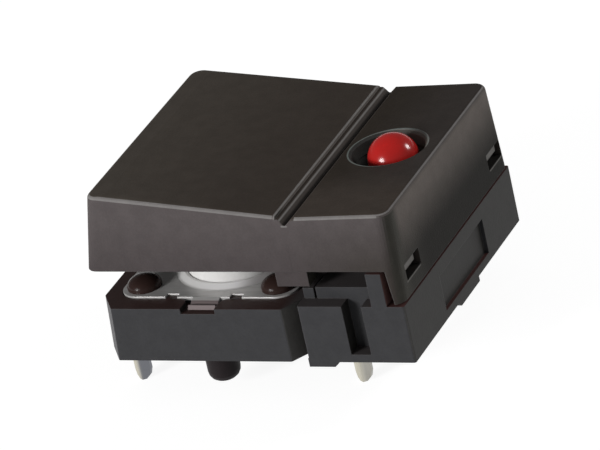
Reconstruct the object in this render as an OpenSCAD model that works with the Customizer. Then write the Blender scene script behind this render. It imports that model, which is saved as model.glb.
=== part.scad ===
// Illuminated push button switch for a circuit board: a wide rocking keycap presses
// a snap dome switch, and a 3 mm lamp shows through a hole in the cap.
// Units are millimetres. X runs right, towards the lamp and the cap's pivot, Y runs
// back and Z up. The origin is on the locating peg's axis at the board's surface.

/* [Housing] */
// Width of the housing, left to right
base_w = 17.6; // [17:0.1:19]
// Depth of the housing, front to back
base_d = 15.55; // [15.4:0.05:17]
// Height of the standoff feet under the housing
foot_h = 0.28; // [0.2:0.01:0.6]
// Height of the switch chamber, feet left out
chamber_h = 3.05; // [2.9:0.01:3.2]
// Width of the switch chamber
chamber_w = 11.6; // [11.4:0.1:11.8]
// Chamfer at the chamber's corners, measured across the front
chamfer_x = 0.95; // [0.6:0.05:1.1]
// Chamfer at the chamber's corners, measured along the side
chamfer_y = 1.45; // [1:0.05:1.6]
// Height of the lamp block, feet left out
block_h = 3.23; // [3.1:0.01:3.3]
// How far the chamber's left side leans out at its foot
side_lean = 0.21; // [0.05:0.01:0.3]
// Radius on the housing's upright corners
base_edge_r = 0.12; // [0.05:0.01:0.2]
// Thickness of the chamber's floor
floor_t = 0.9; // [0.8:0.05:1]
// Wall round the rear pocket
pocket_wall = 0.9; // [0.7:0.1:1.1]

/* [Lamp block] */
// Width of the upright slot in the front and the back of the lamp block
slot_w = 1.1; // [0.8:0.1:1.3]
// Distance from the right face to the slot
slot_in = 2.4; // [2.2:0.1:2.5]
// Depth of the slot
slot_d = 0.9; // [0.5:0.1:1.1]
// Height of the ledge that closes the slot below
slot_ledge = 0.45; // [0.3:0.05:0.8]
// Height of the lamp deck above the lamp block
deck_h = 0.65; // [0.4:0.05:0.8]
// Distance from the front and the back face to the lamp deck
deck_in = 0.9; // [0.6:0.1:1.2]
// Distance from the right face to the deck's right side
deck_right = 1.95; // [1.9:0.05:2.1]
// Width of the lamp deck
deck_w = 3.23; // [3.1:0.01:3.3]
// Height of the two low walls on the deck's left
low_wall_h = 0.6; // [0.3:0.01:0.62]
// Thickness of the low walls
low_wall_t = 0.6; // [0.4:0.05:0.65]
// Gap between the low walls and the deck
low_wall_gap = 0.12; // [0.1:0.01:0.3]
// Length of the low walls, front to back
low_wall_l = 1.6; // [1:0.1:2]
// Depth of the marking recess in the right face
recess_t = 0.22; // [0.1:0.02:0.4]
// Length of the marking recess
recess_l = 6.3; // [5:0.1:8]
// Height of the marking recess
recess_h = 2.0; // [1.5:0.1:2.2]
// Distance from the housing's underside to the marking recess
recess_up = 0.45; // [0.3:0.05:0.8]
// Distance from the front face to the marking recess
recess_y = 4.7; // [4:0.1:6]

/* [Latch posts] */
// Thickness of a latch post
post_t = 0.85; // [0.7:0.05:0.9]
// Distance from the right face to a latch post
post_in = 0.95; // [0.9:0.05:1]
// Length of a latch post, front to back
post_l = 3.0; // [2.9:0.1:3.2]
// Height of the latch posts above the lamp block
post_h = 1.87; // [1.8:0.01:1.88]

/* [Feet and peg] */
// Width of the feet under the lamp block's corners
foot_w = 1.75; // [1.4:0.05:2]
// Length of the foot under the right side
side_foot_l = 3.0; // [2:0.1:4]
// Length of the foot under the left side
left_foot_l = 3.0; // [2:0.1:3.4]
// Width of the feet under the left and the right side
side_foot_w = 0.9; // [0.7:0.1:1]
// Bevel at one end of each foot
foot_bevel = 0.3; // [0.1:0.05:0.5]
// Diameter of the locating peg
peg_d = 1.75; // [1.5:0.05:2]
// Length of the locating peg below the board's surface
peg_l = 1.55; // [1.4:0.05:2]
// Diameter of the locating peg's tip
peg_tip_d = 0.8; // [0.6:0.05:1.3]
// Height of the locating peg's rounded tip
peg_tip_h = 0.55; // [0.4:0.05:0.9]
// Distance from the front face to the locating peg's axis
peg_y = 1.65; // [1.2:0.05:1.9]

/* [Switch works] */
// Distance of the works to the right of the chamber's middle
works_off = 0.42; // [0.2:0.01:0.45]
// Distance from the front face to the works' axis
works_y = 5.05; // [4.95:0.01:5.1]
// Wall between the round well under the plunger and the chamber's nearer side
well_wall = 1.93; // [1.9:0.01:2]
// Thickness of the cover plate
plate_t = 0.22; // [0.18:0.01:0.25]
// Depth of the cover plate's seat below the chamber's top
seat_d = 0.14; // [0.1:0.01:0.18]
// Distance from the chamber's left and right faces to the cover plate
plate_in_x = 0.8; // [0.7:0.05:0.9]
// Distance from the front face to the cover plate
plate_in_y = 1.17; // [1.1:0.01:1.2]
// Depth of the cover plate, front to back
plate_d = 7.5; // [7.45:0.01:7.6]
// Corner radius of the cover plate
plate_r = 1.1; // [0.8:0.1:1.2]
// Height of the collar that is drawn up from the cover plate
collar_h = 0.24; // [0.23:0.01:0.3]
// How far the collar's foot lies inside the well's radius
collar_in = 0.17; // [0.15:0.01:0.2]
// Inward lean of the collar's side, from foot to top
collar_lean = 0.4; // [0.3:0.01:0.45]
// Width of the notch in the chamber's front rim
notch_w = 1.95; // [1.8:0.05:2.1]
// Distance of the notch to the right of the chamber's middle
notch_off = 0.1; // [0:0.01:0.12]
// Radius where the notch opens into the cover plate's seat
notch_r = 0.45; // [0.3:0.01:0.46]
// Width of the tongue at the cover plate's front edge
tongue_w = 1.56; // [1.4:0.01:1.6]
// Distance of the tongue to the right of the chamber's middle
tongue_off = 0.18; // [0.05:0.01:0.2]
// Distance from the front face to the tongue's end
tongue_in = 0.36; // [0.1:0.01:0.4]
// Step down along the tongue
tongue_drop = 0.1; // [0.05:0.01:0.15]
// Length of the bend where the tongue steps down
tongue_bend = 0.3; // [0.2:0.01:0.35]
// Width of the groove pressed across the tongue
press_w = 0.25; // [0.15:0.01:0.3]
// Depth of that groove
press_t = 0.09; // [0.04:0.01:0.12]
// Diameter of the staked heads that hold the cover plate
stake_head_d = 1.85; // [1.5:0.05:1.9]
// Diameter of the stakes below their heads
stake_d = 1.3; // [1.1:0.05:1.4]
// Height of the staked heads
stake_h = 0.68; // [0.5:0.01:0.75]
// Height of the upright rim round a staked head
stake_rim = 0.12; // [0.06:0.01:0.2]
// Distance from the plate's edges to the stakes' axes
stake_in = 1.15; // [1.05:0.05:1.25]
// Width of the nibs that locate the plate's front and back edges
nib_w = 0.6; // [0.4:0.05:0.8]
// Distance between the two nibs on one edge
nib_pitch = 3.7; // [3.68:0.01:3.8]

/* [Plunger and dome] */
// Width of the collar's flat top and the clearance inside it
collar_top = 0.2; // [0.15:0.01:0.25]
// Clearance between the plunger's flange and the well
flange_gap = 0.15; // [0.1:0.01:0.2]
// Thickness of the plunger's flange
flange_t = 0.45; // [0.4:0.01:0.5]
// Height of the plunger's straight side above the cover plate
plunger_side = 0.99; // [0.9:0.01:1.1]
// Height of the plunger's crown
crown_h = 0.75; // [0.5:0.05:0.9]
// Stroke of the plunger
stroke = 0.5; // [0.3:0.01:0.5]
// Clearance between the snap dome and the well
dome_gap = 0.3; // [0.2:0.01:0.4]
// Rise of the snap dome
dome_rise = 0.66; // [0.62:0.01:0.68]
// Thickness of the snap dome
dome_t = 0.08; // [0.06:0.01:0.1]
// Running clearance round the plunger
run_gap = 0.07; // [0.05:0.01:0.1]

/* [Contacts] */
// Thickness of the stamped contacts
contact_t = 0.25; // [0.2:0.01:0.3]
// Width of a terminal
pin_w = 0.9; // [0.8:0.05:1.1]
// Depth of the fold along a terminal
pin_fold = 0.3; // [0.2:0.02:0.4]
// Length of the terminals below the board's surface
pin_l = 2.1; // [1.9:0.05:3]
// Width of a terminal's blunt tip
pin_tip_w = 0.4; // [0.2:0.02:0.5]
// Height of a terminal's rounded tip
pin_tip_h = 0.5; // [0.3:0.05:0.8]
// Distance from the left face to the left terminals' axes
pin_left_in = 0.6; // [0.58:0.01:1]
// Distance from the right face to the right terminals' axes
pin_right_in = 4.3; // [4.2:0.05:4.4]
// Distance from the front face to the front terminals' axes
pin_y = 2.4; // [2.35:0.01:2.45]
// Distance between the front and the rear terminals
pin_pitch = 5.0; // [4.9:0.05:5.1]
// Width of the contact ring
ring_w = 0.85; // [0.75:0.01:0.9]
// Clearance between the contact ring and the well
ring_in = 0.1; // [0.05:0.01:0.14]
// Width of the strip to the middle contact
strip_w = 0.8; // [0.6:0.05:0.9]
// Gap between that strip and the ring's ends
ring_gap = 0.3; // [0.25:0.05:0.4]
// Radius of the middle contact's raised pad
pad_r = 0.9; // [0.7:0.05:1.1]
// Radius of the nub under the plunger
nub_r = 0.9; // [0.7:0.05:1]
// Clearance between the nub and the snap dome at rest
nub_gap = 0.03; // [0.02:0.01:0.05]
// Clearance between a stamped contact and the moulding round it
insert_gap = 0.01; // [0.005:0.005:0.02]

/* [Lamp] */
// Diameter of the lamp's lens
lamp_d = 2.75; // [2.6:0.05:3]
// Diameter of the lamp's flange
lamp_flange_d = 3.7; // [3.5:0.05:3.8]
// Thickness of the lamp's flange
lamp_flange_t = 0.9; // [0.6:0.1:1.2]
// Height of the lamp, flange and crown included
lamp_h = 5.1; // [4.8:0.05:5.3]
// Distance from the right face to the lamp's axis
lamp_in = 2.75; // [2.7:0.05:2.9]
// Distance from the front face to the lamp's axis
lamp_y = 7.95; // [7.6:0.05:8.2]
// Distance between the lamp's two leads
lead_pitch = 2.54; // [2.3:0.02:2.6]
// Side of a lead's square section
lead_s = 0.45; // [0.4:0.01:0.5]
// Length of the leads inside the lens
lead_in = 0.6; // [0.4:0.05:0.7]

/* [Keycap] */
// Distance from the housing's left face to the keycap's lower left edge
cap_left_in = -0.07; // [-0.1:0.01:0.3]
// Distance from the housing's front and back faces to the keycap's
cap_y = 0.06; // [0.05:0.01:0.2]
// Height of the keycap's lower edge above the board
cap_bottom = 5.49; // [5.4:0.01:5.6]
// Height of the keycap's left edge above the board
cap_left_z = 9.72; // [9.4:0.01:9.9]
// Height of the keycap's right edge above the board
cap_right_z = 8.6; // [8.4:0.05:8.7]
// Slope of the left plane
left_slope = 6.3; // [5:0.1:7]
// Slope of the right plane
right_slope = 1.5; // [0:0.1:2]
// Lean of the left wall
left_draft = 9.6; // [4:0.1:11]
// Lean of the right wall
right_draft = 0.5; // [0.3:0.1:2]
// Lean of the front and the back wall
front_draft = 3.9; // [1:0.1:5]
// Thickness of the keycap's walls
cap_wall = 0.7; // [0.6:0.01:0.72]
// Thickness of the keycap's top
cap_top_t = 0.8; // [0.6:0.05:1]
// Radius on the keycap's upper edges
cap_edge_r = 0.25; // [0.15:0.01:0.35]
// Radius on the keycap's upright corners
cap_corner_r = 0.7; // [0.4:0.05:0.9]
// Gap between the right wall's lower edge and the lamp block
skirt_gap = 0.13; // [0.1:0.01:0.25]
// Distance from the right face to the groove between the two planes
groove_in = 5.8; // [5.6:0.05:6]
// Depth of the groove
groove_t = 0.42; // [0.3:0.02:0.5]
// Width of the groove, left of its bottom
groove_left_w = 0.3; // [0.2:0.02:0.4]
// Width of the groove, right of its bottom
groove_right_w = 0.46; // [0.3:0.02:0.6]
// Width of the shallow step along the groove's left side
step_w = 0.2; // [0.1:0.02:0.3]
// Depth of that step
step_t = 0.14; // [0.08:0.01:0.2]
// Radius of the lamp hole
hole_r = 1.96; // [1.9:0.02:2.2]
// Distance from the right face to the lamp hole's axis
hole_in = 2.95; // [2.85:0.01:3.05]
// Bevel at the lamp hole's rim
hole_bevel = 0.15; // [0.05:0.01:0.2]
// Thickness of the light shade round the lamp, under the keycap's top
shade_t = 0.5; // [0.4:0.05:0.7]
// Height of the light shade's lower edge above the board
shade_z = 5.55; // [5.4:0.05:6.5]
// Step from the lamp hole out to the light shade's bore
shade_step = 0.06; // [0.04:0.01:0.1]
// Distance from the keycap's front face to the front latch window
window_y = 1.0; // [0.9:0.05:1.1]
// Distance from the keycap's back face to the rear latch window
rear_window_y = 0.45; // [0.4:0.05:1]
// Length of a latch window
window_l = 1.95; // [1.8:0.05:2]
// Height of a latch window
window_h = 0.9; // [0.8:0.05:1]
// Height of the latch windows' lower edges above the board
window_z = 4.45; // [4.4:0.05:4.5]
// Clearance above the latch hooks
hook_gap = 0.06; // [0.05:0.01:0.1]
// Height of a latch hook
hook_h = 0.5; // [0.4:0.02:0.55]
// Height of the upright face on a latch hook
hook_face = 0.3; // [0.2:0.02:0.38]
// Clearance at each end of a latch hook
hook_side = 0.25; // [0.15:0.05:0.3]
// Distance from the keycap's right face to a latch hook's face
hook_in = 0.25; // [0.2:0.01:0.35]
// Thickness of the right wall at its lower edge
skirt_t = 0.46; // [0.4:0.02:0.6]
// Radius of the pusher under the keycap
pusher_r = 0.9; // [0.7:0.05:1]
// Clearance between the pusher and the plunger at rest
push_gap = 0.05; // [0.04:0.01:0.08]
// Thickness of the ribs under the keycap
rib_t = 0.6; // [0.4:0.05:0.8]
// Depth of the ribs under the keycap
rib_h = 1.0; // [0.6:0.1:1.4]
// Width of the two legs beside the lamp deck
leg_w = 1.79; // [1.2:0.01:1.9]
// Thickness of those legs
leg_t = 0.7; // [0.5:0.05:0.8]
// Height of those legs' lower ends above the board
leg_z = 4.42; // [4.35:0.01:4.7]
// Gap between those legs and the lamp deck
leg_gap = 0.07; // [0.05:0.01:0.2]

/* [Hidden] */

$fn = 48;
fine = 96;
medium = 32;
coarse = 16;
// Overlap that joins solids and carries a cut past a face
over = 0.2;
// Thickness of the slices that a hull is stretched between
seam = 0.01;
// Clearance round the cover plate in its seat
seat_gap = 0.04;
// Clearance round a lamp lead
lead_gap = 0.05;
// Reach of a nib past the cover plate's edge
nib_d = 0.3;
// Points along a quarter of a round profile, and of a small edge's
arc_steps = 12;
edge_steps = 4;

// Heights above the board
under_z = foot_h;
chamber_z = under_z + chamber_h;
block_z = under_z + block_h;
deck_z = block_z + deck_h;
floor_z = under_z + floor_t;
seat_z = chamber_z - seat_d;
plate_z = seat_z + plate_t;
contact_z = floor_z + contact_t;
nub_z = contact_z + dome_rise + nub_gap;
// The pad stands where the plunger's full stroke flattens the dome onto it
pad_z = nub_z - dome_t - stroke;
crown_z = plate_z + plunger_side + crown_h;

// Places from the right face, which is x = 0, and from the front face, y = 0
left_x = -base_w;
chamber_x = left_x + chamber_w;
middle_x = left_x + chamber_w / 2;
works_x = middle_x + works_off;
well_r = chamber_w / 2 - works_off - well_wall;
collar_r = well_r - collar_in;
plunger_r = collar_r - collar_lean - collar_top;
flange_r = well_r - flange_gap;
dome_r = well_r - dome_gap;
ring_outer = well_r - ring_in;
ring_r = ring_outer - ring_w;
pin_left_x = left_x + pin_left_in;
pin_right_x = -pin_right_in;
pin_ys = [pin_y, pin_y + pin_pitch];
plate_left = left_x + plate_in_x;
plate_right = chamber_x - plate_in_x;
plate_front = plate_in_y;
plate_back = plate_front + plate_d;
stakes = [for (x = [plate_left + stake_in, plate_right - stake_in],
               y = [plate_front + stake_in, plate_back - stake_in]) [x, y]];
nibs = [for (s = [-1, 1]) middle_x + s * nib_pitch / 2];
notch_x = middle_x + notch_off;
tongue_x = middle_x + tongue_off;
low_wall_x = -deck_right - deck_w - low_wall_gap - low_wall_t;

// The keycap's outline seen from the front
cap_left = left_x + cap_left_in;
cap_back = base_d - cap_y;
skirt_z = block_z + skirt_gap;
left_top_x = cap_left + (cap_left_z - cap_bottom) * tan(left_draft);
right_top_x = -(cap_right_z - skirt_z) * tan(right_draft);
groove_x = -groove_in;
function left_wall_x(z) = cap_left + (z - cap_bottom) * tan(left_draft);
function front_y(z) = cap_y + (z - cap_bottom) * tan(front_draft);
function back_y(z) = cap_back - (z - cap_bottom) * tan(front_draft);
function left_plane(x) = cap_left_z - (x - left_top_x) * tan(left_slope);
function right_plane(x) = cap_right_z - (right_top_x - x) * tan(right_slope);

window_ys = [cap_y + window_y, cap_back - rear_window_y - window_l];
window_top = window_z + window_h;
hook_z = window_top - hook_gap - hook_h;
lead_ys = [lamp_y - lead_pitch / 2, lamp_y + lead_pitch / 2];

module at_peg() {
    translate([-middle_x, -peg_y, 0]) children();
}

// An outline with every outer corner rounded to r
module rounded(r) {
    offset(r = r, $fn = coarse) offset(delta = -r) children();
}

module box(low, high) {
    translate(low) cube(high - low);
}

// An outline in the XZ plane, carried back along Y from y0 to y1
module along_y(y0, y1) {
    translate([0, y1, 0]) rotate([90, 0, 0]) linear_extrude(y1 - y0) children();
}

// An outline in the YZ plane, carried along X from x0 to x1
module along_x(x0, x1) {
    translate([x0, 0, 0]) rotate([90, 0, 90]) linear_extrude(x1 - x0) children();
}

// Plan of the housing: an eight-sided chamber on the left, the lamp block on the right,
// and a wedge-shaped gap between them at the front and the back
module housing_plan() {
    rounded(base_edge_r)
        polygon([
            [left_x, chamfer_y], [left_x + chamfer_x, 0],
            [chamber_x - chamfer_x, 0], [chamber_x, chamfer_y], [chamber_x, 0],
            [0, 0], [0, base_d], [chamber_x, base_d], [chamber_x, base_d - chamfer_y],
            [chamber_x - chamfer_x, base_d],
            [left_x + chamfer_x, base_d], [left_x, base_d - chamfer_y]
        ]);
}

// The chamber's left part, whose side leans out towards the board
module leaning_side() {
    hull() {
        translate([0, 0, chamber_z - seam]) linear_extrude(seam) side_plan(left_x);
        translate([0, 0, under_z]) linear_extrude(seam) side_plan(left_x - side_lean);
    }
}

module side_plan(x) {
    rounded(base_edge_r)
        polygon([
            [x, chamfer_y], [x + chamfer_x, 0], [left_x + 3 * chamfer_x, 0],
            [left_x + 3 * chamfer_x, base_d], [x + chamfer_x, base_d], [x, base_d - chamfer_y]
        ]);
}

module upright_plan() {
    intersection() {
        housing_plan();
        translate([left_x + 2 * chamfer_x, 0]) square([base_w, base_d]);
    }
}

module block_plan() {
    intersection() {
        housing_plan();
        translate([chamber_x, 0]) square([-chamber_x, base_d]);
    }
}

// Two posts behind the keycap's right wall, each with a hook that reaches into a window
module latch_posts() {
    for (y = window_ys) {
        post_y = y < base_d / 2 ? 0 : base_d - post_l;
        box([-post_in - post_t, post_y, block_z - over],
            [-post_in, post_y + post_l, block_z + post_h]);
        along_y(y + hook_side, y + window_l - hook_side)
            polygon([
                [-post_in - over, hook_z], [-hook_in, hook_z],
                [-hook_in, hook_z + hook_face],
                [-post_in, hook_z + hook_h], [-post_in - over, hook_z + hook_h]
            ]);
    }
}

// Low walls on the lamp block that stop the keycap's legs when the cap is pressed too far
module low_walls() {
    for (y = [deck_in, base_d - deck_in - low_wall_l])
        box([low_wall_x, y, block_z - over],
            [low_wall_x + low_wall_t, y + low_wall_l, block_z + low_wall_h]);
}

// Outline of a foot that is bevelled at its far end
module foot_outline(length) {
    polygon([
        [0, foot_h + over], [0, 0], [length - foot_bevel, 0],
        [length, foot_h], [length, foot_h + over]
    ]);
}

// A foot along the left or the right side, bevelled at its front end
module side_foot(x, y, length) {
    translate([0, y + length / 2, 0])
        mirror([0, 1, 0])
            along_x(x, x + side_foot_w) foot_outline(length);
}

module feet() {
    for (y = [0, base_d - foot_w])
        translate([chamber_x, 0, 0]) along_y(y, y + foot_w) foot_outline(foot_w);
    side_foot(-side_foot_w, base_d / 2, side_foot_l);
    side_foot(left_x, works_y, left_foot_l);
}

module peg() {
    tip = [for (i = [1 : edge_steps])
        let (a = 90 * i / edge_steps)
        [peg_tip_d / 2 + (peg_d - peg_tip_d) / 2 * cos(a), -peg_l + peg_tip_h * (1 - sin(a))]];
    translate([middle_x, peg_y, 0])
        rotate_extrude($fn = fine)
            polygon(concat([
                [0, under_z + over], [peg_d / 2, under_z + over],
                [peg_d / 2, peg_tip_h - peg_l]
            ], tip, [[0, -peg_l]]));
}

module plate_plan(gap) {
    offset(r = plate_r + gap, $fn = fine)
        translate([plate_left + plate_r, plate_front + plate_r])
            square([plate_right - plate_left - 2 * plate_r, plate_d - 2 * plate_r]);
}

// Seat of the cover plate, the notch for its tongue and the round well under it
module works_seat() {
    difference() {
        translate([0, 0, seat_z]) linear_extrude(seat_d + over) plate_plan(seat_gap);
        for (x = nibs, y = [plate_front, plate_back])
            box([x - nib_w / 2, y - nib_d, seat_z - over],
                [x + nib_w / 2, y + nib_d, chamber_z + over]);
    }
    translate([0, 0, seat_z - tongue_drop - seat_gap])
        linear_extrude(chamber_h) notch_plan();
    translate([works_x, works_y, floor_z]) cylinder(r = well_r, h = chamber_h, $fn = fine);
}

// Plan of the notch in the front rim, which opens into the seat with round corners
module notch_plan() {
    intersection() {
        offset(r = -notch_r, $fn = medium)
            offset(delta = notch_r) {
                translate([notch_x - notch_w / 2, -plate_front])
                    square([notch_w, 2 * plate_front]);
                translate([notch_x - notch_w - notch_r, plate_front - seat_gap])
                    square([2 * (notch_w + notch_r), plate_front]);
            }
        translate([notch_x - notch_w, -over])
            square([2 * notch_w, plate_front + over + seat_gap]);
    }
}

// Cored pocket in the chamber behind the works, in two halves
module rear_pocket() {
    half_rib = pocket_wall / 2;
    for (side = [[left_x, middle_x - half_rib], [middle_x + half_rib, chamber_x - pocket_wall]])
        translate([0, 0, floor_z])
            linear_extrude(chamber_h)
                intersection() {
                    offset(delta = -pocket_wall) housing_plan();
                    translate([side[0], plate_back + pocket_wall])
                        square([side[1] - side[0], base_d]);
                }
}

module side_slots() {
    for (y = [-over, base_d - slot_d])
        box([-slot_in - slot_w, y, under_z + slot_ledge],
            [-slot_in, y + slot_d + over, block_z + over]);
}

module marking_recess() {
    box([-recess_t, recess_y, under_z + recess_up],
        [over, recess_y + recess_l, under_z + recess_up + recess_h]);
}

// Posts that pass through the cover plate, with the heads that hold it down
module plate_stakes() {
    for (s = stakes)
        translate([s[0], s[1], 0])
            rotate_extrude($fn = fine)
                polygon(concat(
                    [[0, seat_z - over], [stake_d / 2, seat_z - over],
                     [stake_d / 2, plate_z], [stake_head_d / 2, plate_z]],
                    [for (i = [0 : arc_steps])
                        let (a = 90 * i / arc_steps)
                        [stake_head_d / 2 * cos(a),
                         plate_z + stake_rim + (stake_h - stake_rim) * sin(a)]]));
}

// Outline of the ring contact: an open ring round the well, and a bar to the terminals
module ring_plan() {
    difference() {
        translate([works_x, works_y]) circle(r = ring_outer, $fn = fine);
        translate([works_x, works_y]) circle(r = ring_r, $fn = fine);
        translate([works_x, works_y - strip_w / 2 - ring_gap])
            square([well_r, strip_w + 2 * ring_gap]);
    }
    translate([pin_left_x, works_y - strip_w / 2])
        square([works_x - ring_r - pin_left_x - over, strip_w]);
    terminal_bar(pin_left_x);
}

// Outline of the middle contact: a strip from the pad and a bar to the terminals
module middle_plan() {
    translate([works_x, works_y - strip_w / 2]) square([pin_right_x - works_x, strip_w]);
    terminal_bar(pin_right_x);
}

module terminal_bar(x) {
    translate([x - pin_w / 2, pin_ys[0] - pin_fold])
        square([pin_w, pin_pitch + 2 * pin_fold]);
}

// A terminal folded along its length, from the bar down to a blunt point
module terminal(x, y, turn, gap) {
    half = pin_w / 2;
    tip = pin_tip_w / 2;
    side = (2 * half + tip) / 3;
    side_z = pin_tip_h / 3 - pin_l;
    translate([x, y, 0])
        intersection() {
            translate([0, 0, -pin_l - over])
                linear_extrude(pin_l + over + floor_z + contact_t / 2)
                    offset(delta = gap)
                        rotate(turn)
                            polygon([
                                [-half, pin_fold], [0, 0], [half, pin_fold],
                                [half, pin_fold - contact_t], [0, -contact_t],
                                [-half, pin_fold - contact_t]
                            ]);
            along_y(-pin_w, pin_w)
                offset(delta = gap)
                    polygon([
                        [-half, contact_z], [-half, pin_tip_h - pin_l], [-side, side_z],
                        [-tip, -pin_l], [tip, -pin_l], [side, side_z],
                        [half, pin_tip_h - pin_l], [half, contact_z]
                    ]);
        }
}

module contact_solid(x, gap) {
    translate([0, 0, floor_z - gap])
        linear_extrude(contact_t + 2 * gap) offset(delta = gap) children();
    terminal(x, pin_ys[0], 0, gap);
    terminal(x, pin_ys[1], 180, gap);
}

module lead(y, gap, top_z) {
    half = lead_s / 2 + gap;
    box([-lamp_in - half, y - half, -pin_l], [-lamp_in + half, y + half, top_z]);
}

module contact_cuts() {
    contact_solid(pin_left_x, insert_gap) ring_plan();
    contact_solid(pin_right_x, insert_gap) middle_plan();
    for (y = lead_ys) lead(y, lead_gap, deck_z + over);
}

module base_housing() {
    color("#2b2a2c")
        at_peg() {
            difference() {
                union() {
                    translate([0, 0, under_z]) linear_extrude(chamber_h) upright_plan();
                    leaning_side();
                    translate([0, 0, under_z]) linear_extrude(block_h) block_plan();
                    box([-deck_right - deck_w, deck_in, block_z - over],
                        [-deck_right, base_d - deck_in, deck_z]);
                    low_walls();
                    latch_posts();
                    feet();
                    peg();
                }
                works_seat();
                rear_pocket();
                side_slots();
                marking_recess();
                contact_cuts();
            }
            plate_stakes();
        }
}

// Stamped cover with a drawn collar round the plunger and a stepped tongue in front
module cover_plate() {
    color("#b9b7b3")
        at_peg() {
            difference() {
                translate([0, 0, seat_z]) linear_extrude(plate_t) plate_plan(0);
                for (x = nibs, y = [plate_front, plate_back])
                    box([x - nib_w / 2 - seat_gap, y - nib_d - seat_gap, seat_z - over],
                        [x + nib_w / 2 + seat_gap, y + nib_d + seat_gap, plate_z + over]);
                for (s = stakes)
                    translate([s[0], s[1], seat_z - over])
                        cylinder(d = stake_d + 2 * insert_gap, h = plate_t + 2 * over, $fn = fine);
                translate([works_x, works_y, seat_z - over])
                    cylinder(r = collar_r - plate_t, h = plate_t + 2 * over, $fn = fine);
            }
            collar();
            tongue();
        }
}

module collar() {
    top_z = plate_z + collar_h;
    bore = plunger_r + run_gap;
    translate([works_x, works_y, 0])
        rotate_extrude($fn = fine)
            polygon([
                [collar_r - plate_t, seat_z], [collar_r, seat_z],
                [collar_r, plate_z], [collar_r - collar_lean, top_z],
                [bore, top_z], [bore, top_z - plate_t]
            ]);
}

module tongue() {
    low = seat_z - tongue_drop;
    top = low + plate_t;
    bend_y = plate_front - tongue_bend;
    press_y = bend_y - press_t;
    along_x(tongue_x - tongue_w / 2, tongue_x + tongue_w / 2)
        polygon([
            [plate_front + over, seat_z], [plate_front, seat_z], [bend_y, low],
            [tongue_in, low], [tongue_in + plate_t / 2, top], [press_y - press_w, top],
            [press_y - press_w + press_t / 4, top - press_t], [press_y, top - press_t],
            [bend_y, top - press_t / 3], [plate_front, plate_z], [plate_front + over, plate_z]
        ]);
}

module plunger() {
    side_z = plate_z + plunger_side;
    flange_z = seat_z - run_gap;
    color("#ecebe6")
        at_peg()
            translate([works_x, works_y, 0])
                rotate_extrude($fn = fine)
                    polygon(concat(
                        [[0, nub_z], [nub_r, nub_z], [nub_r, flange_z - flange_t],
                         [flange_r, flange_z - flange_t], [flange_r, flange_z],
                         [plunger_r, flange_z]],
                        [for (i = [0 : arc_steps])
                            let (a = 90 * i / arc_steps)
                            [plunger_r * cos(a), side_z + crown_h * sin(a)]]));
}

module snap_dome() {
    ball = (dome_r * dome_r + dome_rise * dome_rise) / (2 * dome_rise);
    centre_z = contact_z + dome_rise - ball;
    foot_in = sqrt(pow(ball - dome_t, 2) - pow(contact_z - centre_z, 2));
    outer_a = asin(dome_r / ball);
    inner_a = asin(foot_in / (ball - dome_t));
    color("#c9c6bd")
        at_peg()
            translate([works_x, works_y, 0])
                rotate_extrude($fn = fine)
                    polygon(concat(
                        [for (i = [0 : arc_steps])
                            let (a = outer_a * i / arc_steps)
                            [ball * sin(a), centre_z + ball * cos(a)]],
                        [for (i = [arc_steps : -1 : 0])
                            let (a = inner_a * i / arc_steps, r = ball - dome_t)
                            [r * sin(a), centre_z + r * cos(a)]]));
}

module ring_contact() {
    color("#cfc9b4") at_peg() contact_solid(pin_left_x, 0) ring_plan();
}

module middle_contact() {
    color("#cfc9b4")
        at_peg() {
            contact_solid(pin_right_x, 0) middle_plan();
            translate([works_x, works_y, floor_z])
                cylinder(r = pad_r, h = pad_z - floor_z, $fn = fine);
        }
}

module lamp_lens() {
    lens_r = lamp_d / 2;
    flange = lamp_flange_d / 2;
    crown_base = deck_z + lamp_h - lens_r;
    color("#b01c18")
        at_peg()
            difference() {
                translate([-lamp_in, lamp_y, 0])
                    rotate_extrude($fn = fine)
                        polygon(concat(
                            [[0, deck_z], [flange, deck_z], [flange, deck_z + lamp_flange_t],
                             [lens_r, deck_z + lamp_flange_t]],
                            [for (i = [0 : arc_steps])
                                let (a = 90 * i / arc_steps)
                                [lens_r * cos(a), crown_base + lens_r * sin(a)]]));
                box([-lamp_in - flange, lamp_y + (flange + lens_r) / 2, deck_z - over],
                    [-lamp_in + flange, lamp_y + 2 * flange, deck_z + lamp_flange_t + over]);
                for (y = lead_ys) lead(y, 0, deck_z + lead_in);
            }
}

module lamp_anode() {
    color("#bdbab2") at_peg() lead(lead_ys[0], 0, deck_z + lead_in);
}

module lamp_cathode() {
    color("#bdbab2") at_peg() lead(lead_ys[1], 0, deck_z + lead_in);
}

// A disc with a rounded upper edge, which makes one upper corner of the keycap
module puck(z) {
    flat = cap_corner_r - cap_edge_r;
    translate([0, 0, z - cap_edge_r])
        rotate_extrude($fn = medium)
            polygon(concat(
                [[0, 0]],
                [for (i = [0 : edge_steps])
                    let (a = 90 * i / edge_steps)
                    [flat + cap_edge_r * cos(a), cap_edge_r * sin(a)]],
                [[0, cap_edge_r]]));
}

// Round bars that make the front and the back upper edge where the planes meet
module edge_bar(x, z) {
    for (y = [front_y(z) + cap_edge_r, back_y(z) - cap_edge_r])
        translate([x, y, z - cap_edge_r])
            rotate([0, 90, 0]) cylinder(r = cap_edge_r, h = seam, $fn = coarse);
}

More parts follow.
